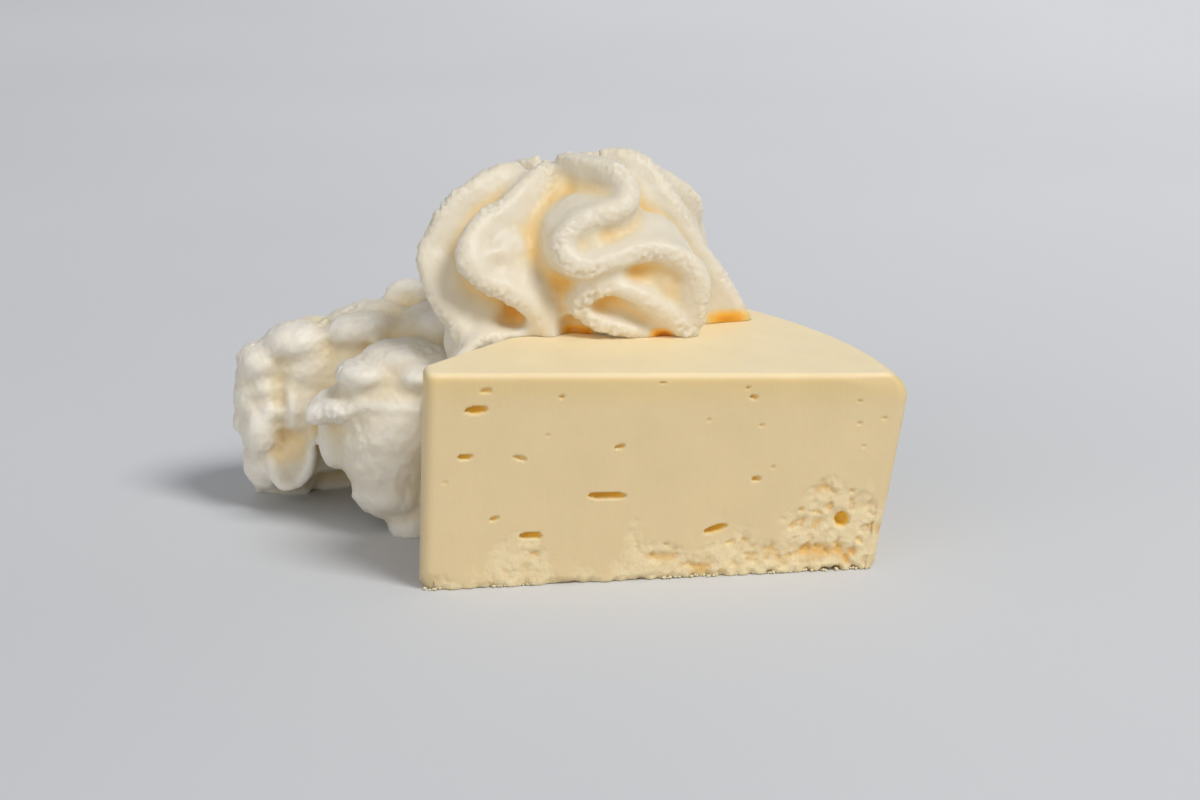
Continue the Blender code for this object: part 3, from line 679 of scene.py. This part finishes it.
def reliefTree():
    # moves each point of the fused cream along its normal: lumps, ripples, and frayed crests near the
    # guide; it leaves two attributes for the material: hollow, the mask for the shade and warm glow
    # painted into the hollows, and fray
    tree = bpy.data.node_groups.new("creamRelief", "GeometryNodeTree")
    face = tree.interface
    face.new_socket("Geometry", in_out="INPUT", socket_type="NodeSocketGeometry")
    face.new_socket("Crests", in_out="INPUT", socket_type="NodeSocketObject")
    for label in ("Lump Size", "Lump Height", "Ripple Size", "Ripple Height", "Fray Size", "Fray Height",
                  "Fray Reach", "Fray Least", "Hollow Scale", "Hollow Shift", "Crispness"):
        face.new_socket(label, in_out="INPUT", socket_type="NodeSocketFloat")
    face.new_socket("Seed", in_out="INPUT", socket_type="NodeSocketFloat")
    face.new_socket("Material", in_out="INPUT", socket_type="NodeSocketMaterial")
    face.new_socket("Geometry", in_out="OUTPUT", socket_type="NodeSocketGeometry")
    start = addNode(tree, "NodeGroupInput").outputs
    here = addNode(tree, "GeometryNodeInputPosition").outputs[0]
    normal = addNode(tree, "GeometryNodeInputNormal").outputs[0]

    def sunkBelow(rounds):  # how far a point lies below the surface blurred over so many rounds
        blurred = addNode(tree, "GeometryNodeBlurAttribute", {"Value": here, "Iterations": rounds},
                          data_type="FLOAT_VECTOR").outputs["Value"]
        sunk = addNode(tree, "ShaderNodeVectorMath", {0: blurred, 1: here},
                       operation="SUBTRACT").outputs[0]
        return addNode(tree, "ShaderNodeVectorMath", {0: sunk, 1: normal},
                       operation="DOT_PRODUCT").outputs["Value"]

    # how deep a point lies below the smoothed surface: the mask for the painted shade and warm glow
    hollow = addNode(tree, "ShaderNodeMath", {0: sunkBelow(240), 1: start["Hollow Scale"]},
                     operation="DIVIDE").outputs[0]
    hollow = addNode(tree, "ShaderNodeMath", {0: hollow, 1: start["Hollow Shift"]},
                     operation="ADD").outputs[0]
    crests = addNode(tree, "GeometryNodeObjectInfo", {"Object": start["Crests"]}).outputs["Geometry"]
    near = addNode(tree, "GeometryNodeProximity", {"Geometry": crests},
                   target_element="EDGES").outputs["Distance"]
    fray = addNode(tree, "ShaderNodeMapRange", {"Value": near, "From Min": start["Fray Reach"],
                                                "From Max": 0.0, "To Min": start["Fray Least"]},
                   interpolation_type="SMOOTHSTEP").outputs[0]

    def grain(size, detail, offset):  # noise about zero, in grains of that size
        scale = addNode(tree, "ShaderNodeMath", {0: 1.0, 1: size}, operation="DIVIDE").outputs[0]
        seed = addNode(tree, "ShaderNodeMath", {0: start["Seed"], 1: offset}, operation="ADD").outputs[0]
        value = addNode(tree, "ShaderNodeTexNoise",
                        {"Vector": here, "Scale": scale, "Detail": detail, "W": seed},
                        noise_dimensions="4D").outputs[0]
        return addNode(tree, "ShaderNodeMath", {0: value, 1: 0.5}, operation="SUBTRACT").outputs[0]

    # teeth stand in stretches along a crest, with quieter ones between
    stretches = addNode(tree, "ShaderNodeMapRange", {"Value": grain(start["Lump Size"], 0.0, 20.0),
                                                     "From Min": -0.12, "From Max": 0.12,
                                                     "To Min": 0.25}).outputs[0]
    total = 0.0
    for factors in ((grain(start["Lump Size"], 1.5, 0.0), start["Lump Height"]),
                    (grain(start["Ripple Size"], 2.0, 4.0), start["Ripple Height"]),
                    (grain(start["Fray Size"], 2.0, 9.0), start["Fray Height"], fray, stretches)):
        wave = factors[0]
        for factor in factors[1:]:
            wave = addNode(tree, "ShaderNodeMath", {0: wave, 1: factor}, operation="MULTIPLY").outputs[0]
        total = addNode(tree, "ShaderNodeMath", {0: wave, 1: total}, operation="ADD").outputs[0]
    total = addNode(tree, "ShaderNodeMath", {0: total, 1: 2.0}, operation="MULTIPLY").outputs[0]
    # what lies below its near surroundings sinks, what stands above them rises
    crisp = addNode(tree, "ShaderNodeMath", {0: sunkBelow(60), 1: start["Crispness"]},
                    operation="MULTIPLY").outputs[0]
    total = addNode(tree, "ShaderNodeMath", {0: total, 1: crisp}, operation="SUBTRACT").outputs[0]
    move = addNode(tree, "ShaderNodeVectorMath", {0: normal, "Scale": total}, operation="SCALE").outputs[0]
    kept = addNode(tree, "GeometryNodeStoreNamedAttribute",
                   {"Geometry": start["Geometry"], "Name": "hollow", "Value": hollow},
                   data_type="FLOAT", domain="POINT").outputs[0]
    kept = addNode(tree, "GeometryNodeStoreNamedAttribute",
                   {"Geometry": kept, "Name": "fray", "Value": fray},
                   data_type="FLOAT", domain="POINT").outputs[0]
    moved = addNode(tree, "GeometryNodeSetPosition", {"Geometry": kept, "Offset": move}).outputs[0]
    real = addNode(tree, "GeometryNodeRealizeInstances", {"Geometry": moved}).outputs[0]
    done = addNode(tree, "GeometryNodeSetMaterial",
                   {"Geometry": real, "Material": start["Material"]}).outputs[0]
    addNode(tree, "NodeGroupOutput", {"Geometry": done})
    return tree


def setInputs(modifier, values):  # by each socket's identifier
    for item in modifier.node_group.interface.items_tree:
        if item.item_type == "SOCKET" and item.in_out == "INPUT" and item.name in values:
            modifier[item.identifier] = values[item.name]


def creamPiece(name, values, folds, core, frays, cutters, material):
    bm = bmesh.new()
    for centre, radii in core:
        addBall(bm, centre, radii)
    for fold in folds:
        addFold(bm, *fold, values["heart"])
    rough = linkMesh(bm, name + "_rough")
    guide = crestGuide(frays, name + "_crests", (-0.7, 0, -0.7))
    # fused, then swollen and shrunk again, which leaves a soft fillet in each crease
    for step, cell, swell in (("fuse", cream["firstVoxel"], values["fillet"]),
                              ("fillet", cream["firstVoxel"], -values["fillet"]),
                              ("refine", values["voxel"], 0.0)):
        fuse = rough.modifiers.new(step, "REMESH")
        fuse.mode = "VOXEL"
        fuse.voxel_size = cell * mm
        if swell:
            push = rough.modifiers.new(step + "Push", "DISPLACE")
            push.strength = swell * mm
            push.mid_level = 0.0
    soften = rough.modifiers.new("soften", "SMOOTH")
    soften.factor = 0.5
    soften.iterations = cream["soften"]
    shape = rough.modifiers.new("relief", "NODES")
    shape.node_group = bpy.data.node_groups.get("creamRelief") or reliefTree()
    shares = ("Crispness", "Fray Least", "Hollow Shift")  # these are no lengths
    inputs = {key: value if key in shares else value * mm for key, value in values["relief"].items()}
    inputs.update({"Crests": guide, "Seed": values["seed"], "Material": material})
    setInputs(shape, inputs)
    for cutter in cutters:
        cut = rough.modifiers.new("cut", "BOOLEAN")
        cut.operation = "DIFFERENCE"
        cut.solver = "MANIFOLD"
        cut.object = cutter
    piece = freeze(rough, name, material)
    keepInside(piece)
    bpy.data.objects.remove(guide)
    return piece


def lightPools(obj):  # adds the painted light spots to the hollow attribute
    layer = obj.data.attributes["hollow"].data
    for v, entry in zip(obj.data.vertices, layer):
        p = v.co / mm + baseMiddle
        above = p.z - topZ(p.x)
        for x, y, reach, height in mound["lightSpots"]:
            near = ease(reach, reach * 0.4, math.hypot(p.x - x, p.y - y))
            entry.value = max(entry.value, near * ease(height, height * 0.2, above))


def keepInside(obj):  # squeezes the last millimetre before the solids' box softly, except at the floor
    low, high = cadBox
    margin = cream["margin"]
    for v in obj.data.vertices:
        for k in range(3):
            for side, wall in ((-1, low[k]), (1, high[k])):
                over = (v.co[k] - wall) * side / mm + margin
                if over > 0 and not (k == 2 and side < 0):
                    v.co[k] = wall - side * margin * mm * math.exp(-over / margin)


def floorCutter():  # a block under the floor
    middle, size = Vector((30, 50, -20)), Vector((260, 260, 40))
    bm = bmesh.new()
    bmesh.ops.create_cube(bm, size=1.0)
    for v in bm.verts:
        v.co = place(middle + v.co * size)
    return linkMesh(bm, "floorCutter")


# Materials
def shaderOf(name, values):
    material = bpy.data.materials.new(name)
    material.use_nodes = True
    shader = material.node_tree.nodes["Principled BSDF"]
    for key, value in values.items():
        shader.inputs[key].default_value = value
    return material, material.node_tree, shader


def whippedCream():
    # Whipped dairy cream: tiny bubbles scatter light deep into it, so shadows are soft, while the crests are
    # matt and off-white; the warm glow and the shade in the hollows are painted into its colour
    material, tree, shader = shaderOf("whippedCream", {
        "Roughness": 0.42, "IOR": 1.38, "Subsurface Weight": 0.6,
        "Subsurface Radius": (1.0, 0.9, 0.7), "Subsurface Scale": 3.2 * mm})
    spot = addNode(tree, "ShaderNodeTexCoord").outputs["Object"]
    hollow = addNode(tree, "ShaderNodeAttribute", attribute_name="hollow").outputs["Fac"]
    fray = addNode(tree, "ShaderNodeAttribute", attribute_name="fray").outputs["Fac"]
    # the ramp paints shade and a warm glow: off-white on the crests, then yellow to deep orange the deeper a
    # point lies in a hollow or inside a painted light spot
    share = addNode(tree, "ShaderNodeMapRange", {"Value": hollow, "From Min": -0.5}).outputs[0]
    ramp = addNode(tree, "ShaderNodeValToRGB", {"Fac": share})
    stops = ramp.color_ramp.elements  # one at each end to begin with
    stops[0].color = hexColour("efece5")
    stops[1].color = hexColour("e69522")
    for position, code in ((0.28, "e8e3d8"), (0.4, "e4d9be"), (0.58, "f1cd83"), (0.8, "fbba48")):
        stops.new(position).color = hexColour(code)
    mottle = addNode(tree, "ShaderNodeTexNoise", {"Vector": spot, "Scale": 1 / (6 * mm),
                                                  "Detail": 3.0}).outputs[0]
    tint = addNode(tree, "ShaderNodeMix", {"Factor": mottle, "A": hexColour("ffffff"),
                                           "B": hexColour("fbf6ec")}, data_type="RGBA").outputs["Result"]
    colour = addNode(tree, "ShaderNodeMix", {"Factor": 1.0, "A": ramp.outputs["Color"], "B": tint},
                     data_type="RGBA", blend_type="MULTIPLY").outputs["Result"]
    # the bubbles are about 0.1 mm across, too fine to show, so they are drawn at 0.9 mm
    bubbles = addNode(tree, "ShaderNodeTexNoise", {"Vector": spot, "Scale": 1 / (0.9 * mm), "Detail": 3.0,
                                                   "Roughness": 0.6}).outputs[0]
    dimples = addNode(tree, "ShaderNodeTexNoise", {"Vector": spot, "Scale": 1 / (2.4 * mm),
                                                   "Detail": 1.0}).outputs[0]
    both = addNode(tree, "ShaderNodeMath", {0: dimples, 1: 1.6, 2: bubbles},
                   operation="MULTIPLY_ADD").outputs[0]
    amount = addNode(tree, "ShaderNodeMapRange", {"Value": fray, "To Min": 0.2, "To Max": 0.5}).outputs[0]
    bump = addNode(tree, "ShaderNodeBump", {"Height": both, "Strength": amount, "Distance": 0.4 * mm})
    tree.links.new(colour, shader.inputs["Base Color"])
    tree.links.new(bump.outputs["Normal"], shader.inputs["Normal"])
    return material


def bakedCheesecake():
    # Baked cream cheese: dense and smooth, it scatters light a little, the knife leaves it satin with
    # faint upright drag marks, the top bakes smooth and pale yellow, and torn curds are paler
    material, tree, shader = shaderOf("bakedCheesecake", {
        "Roughness": 0.5, "IOR": 1.42, "Subsurface Weight": 0.35,
        "Subsurface Radius": (1.0, 0.6, 0.25), "Subsurface Scale": 2.5 * mm})
    spot = addNode(tree, "ShaderNodeTexCoord").outputs["Object"]
    hole, tornShare, dent, crumbly = (
        addNode(tree, "ShaderNodeAttribute", attribute_name=name).outputs["Fac"]
        for name in ("hole", "torn", "dent", "crumbly"))
    # the height that the spot would have if the top were level
    axes = addNode(tree, "ShaderNodeSeparateXYZ", {"Vector": spot}).outputs
    level = addNode(tree, "ShaderNodeMath", {0: axes["X"], 1: cake["topFall"], 2: axes["Z"]},
                    operation="MULTIPLY_ADD").outputs[0]
    topHere = topZ(baseMiddle.x)
    band, skin = (
        addNode(tree, "ShaderNodeMapRange", {"Value": level, "From Min": (topHere - start) * mm,
                                             "From Max": (topHere - end) * mm},
                interpolation_type="SMOOTHSTEP").outputs[0]
        for start, end in ((9.0, 1.0), (1.2, 0.0)))
    pale = addNode(tree, "ShaderNodeMath", {0: tornShare, 1: 0.5}, operation="MULTIPLY").outputs[0]
    ochre = addNode(tree, "ShaderNodeMath", {0: dent, 1: 0.85}, operation="MULTIPLY").outputs[0]
    mottle = addNode(tree, "ShaderNodeTexNoise", {"Vector": spot, "Scale": 1 / (11 * mm),
                                                  "Detail": 4.0}).outputs[0]
    shade = addNode(tree, "ShaderNodeMapRange", {"Value": mottle, "To Min": 0.93, "To Max": 1.05}).outputs[0]
    grey = addNode(tree, "ShaderNodeCombineColor", {"Red": shade, "Green": shade, "Blue": shade}).outputs[0]
    layers = (
        (band, hexColour("e2c891"), "MIX"),     # a deeper band under the top edge
        (skin, hexColour("fee8bc"), "MIX"),     # the baked top
        (pale, hexColour("f7e6bd"), "MIX"),     # torn curds
        (1.0, grey, "MULTIPLY"),                # mottling all over
        (ochre, hexColour("e8b661"), "MIX"),    # light caught in the deep tears
        (hole, hexColour("ffd765"), "MIX"),     # and in the air holes
    )
    colour = hexColour("e3cc9e")
    for share, coat, blend in layers:
        colour = addNode(tree, "ShaderNodeMix", {"Factor": share, "A": colour, "B": coat},
                         data_type="RGBA", blend_type=blend).outputs["Result"]
    # drag marks 1.2 mm apart and stretched upright, with pores drawn at 0.7 mm so that they show
    drag = addNode(tree, "ShaderNodeMapping", {"Vector": spot, "Scale": (1.0, 1.0, 0.12)}).outputs[0]
    marks = addNode(tree, "ShaderNodeTexNoise", {"Vector": drag, "Scale": 1 / (1.2 * mm),
                                                 "Detail": 3.0}).outputs[0]
    pores = addNode(tree, "ShaderNodeTexNoise", {"Vector": spot, "Scale": 1 / (0.7 * mm),
                                                 "Detail": 4.0}).outputs[0]
    both = addNode(tree, "ShaderNodeMath", {0: marks, 1: pores}, operation="ADD").outputs[0]
    amount = addNode(tree, "ShaderNodeMapRange", {"Value": crumbly, "To Min": 0.14, "To Max": 0.6}).outputs[0]
    bump = addNode(tree, "ShaderNodeBump", {"Height": both, "Strength": amount, "Distance": 0.4 * mm})
    tree.links.new(colour, shader.inputs["Base Color"])
    tree.links.new(bump.outputs["Normal"], shader.inputs["Normal"])
    return material


# Stage and light: the stage's sizes are in metres
stage = {
    "floorPaintedLight": ("c6c8ca", "e6e7e8"),        # painted light: darker at the left, lighter at the right
    "halfWidth": 5.0,
    "near": -2.5,
    "far": 3.0,
    "curve": 1.5,                               # the radius where the floor turns up
    # the lamps: direction, degrees across, power
    "key": ((0.44, -0.48, 0.76), 22, 1.92),     # big and soft, in front at the right
    "fill": ((-0.62, -0.77, 0.10), 60, 0.96),   # softer, in front at the left
    "ambient": 0.34,
    "ambientColour": "f8f9ff",
}


def studioPaper():
    # Matt backdrop paper with painted light that makes it a little lighter towards the right, and a faint
    # cloudiness
    material, tree, shader = shaderOf("studioPaper", {"Roughness": 0.9, "Specular IOR Level": 0.2})
    left, right = (hexColour(code) for code in stage["floorPaintedLight"])
    spot = addNode(tree, "ShaderNodeTexCoord").outputs["Object"]
    across = addNode(tree, "ShaderNodeSeparateXYZ", {"Vector": spot}).outputs["X"]
    cloud = addNode(tree, "ShaderNodeTexNoise", {"Vector": spot, "Scale": 3.0, "Detail": 2.0}).outputs[0]
    mixed = addNode(tree, "ShaderNodeMath", {0: cloud, 1: 0.3, 2: across},
                    operation="MULTIPLY_ADD").outputs[0]
    share = addNode(tree, "ShaderNodeMapRange", {"Value": mixed, "From Min": -0.2,
                                                 "From Max": 0.5}).outputs[0]
    # painted light: the paper brightens towards the right
    colour = addNode(tree, "ShaderNodeMix", {"Factor": share, "A": left, "B": right}, data_type="RGBA")
    tree.links.new(colour.outputs["Result"], shader.inputs["Base Color"])
    return material


def makeStage():
    bm = bmesh.new()
    rings = []
    flat = 0.66  # the share of the rings before the floor curves up, far behind the object
    for i in range(25):
        t = i / 24
        y = stage["near"] + (stage["far"] - stage["near"]) * min(t * 1.5, 1.0)
        z = 0.0
        if t > flat:
            a = (t - flat) / (1 - flat) * math.pi / 2
            y = stage["far"] + stage["curve"] * math.sin(a)
            z = stage["curve"] * (1 - math.cos(a))
        rings.append([bm.verts.new((x, y, z)) for x in (-stage["halfWidth"], stage["halfWidth"])])
    for (a, b), (c, d) in zip(rings, rings[1:]):
        bm.faces.new((a, b, d, c))
    floor = linkMesh(bm, "floor")
    floor.data.shade_smooth()
    floor.data.materials.append(studioPaper())
    for name in ("key", "fill"):
        where, size, power = stage[name]
        data = bpy.data.lights.new(name, "SUN")
        data.angle = math.radians(size)
        data.energy = power
        light = bpy.data.objects.new(name, data)
        light.rotation_euler = Vector(where).to_track_quat("Z", "Y").to_euler()
        bpy.context.scene.collection.objects.link(light)
    world = bpy.data.worlds.new("studio")
    world.use_nodes = True
    back = world.node_tree.nodes["Background"]
    back.inputs["Color"].default_value = hexColour(stage["ambientColour"])
    back.inputs["Strength"].default_value = stage["ambient"]
    bpy.context.scene.world = world
    bpy.context.scene.view_settings.view_transform = "Standard"
    bpy.context.scene.view_settings.look = "None"


makeCamera()
makeStage()
print("camera, stage and light are set")

creamMaterial = whippedCream()
cakeMaterial = bakedCheesecake()

slicePiece = freeze(sliceMesh("slice_rough", 0.0, True), "cheesecake_slice", cakeMaterial)
print("slice made:", triangles(slicePiece), "triangles")

crumbPiece = crumbsPiece(cakeMaterial)
print("crumbs made:", triangles(crumbPiece), "triangles")

sliceCutter = sliceMesh("sliceCutter", cream["gap"], False)
floorBox = floorCutter()
folds = list(moundFolds.values()) + moundBack()
moundPiece = creamPiece("piped_cream", mound, folds, moundCore, [fold[0] for fold in folds],
                        [sliceCutter], creamMaterial)
lightPools(moundPiece)
print("piped cream made:", triangles(moundPiece), "triangles")

moundCutter = moundPiece.copy()  # a little larger than the piped cream
bpy.context.scene.collection.objects.link(moundCutter)
grow = moundCutter.modifiers.new("grow", "DISPLACE")
grow.strength = cream["gap"] * mm
grow.mid_level = 0.0
folds = list(heapFolds.values()) + heapBack()
frays = heapFrays + [fold[0] for fold in heapBack()]
heapPiece = creamPiece("heaped_cream", heap, folds, heapCore, frays,
                       [sliceCutter, floorBox, moundCutter], creamMaterial)
print("heaped cream made:", triangles(heapPiece), "triangles")
for helper in (sliceCutter, floorBox, moundCutter):
    bpy.data.objects.remove(helper)

for piece, node, slot in ((slicePiece, "cake", "cheesecake"), (moundPiece, "cream_top", "whipped_cream"),
                          (heapPiece, "cream_side", "whipped_cream")):
    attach(piece, "root")
    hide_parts(node)

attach(crumbPiece, "root")
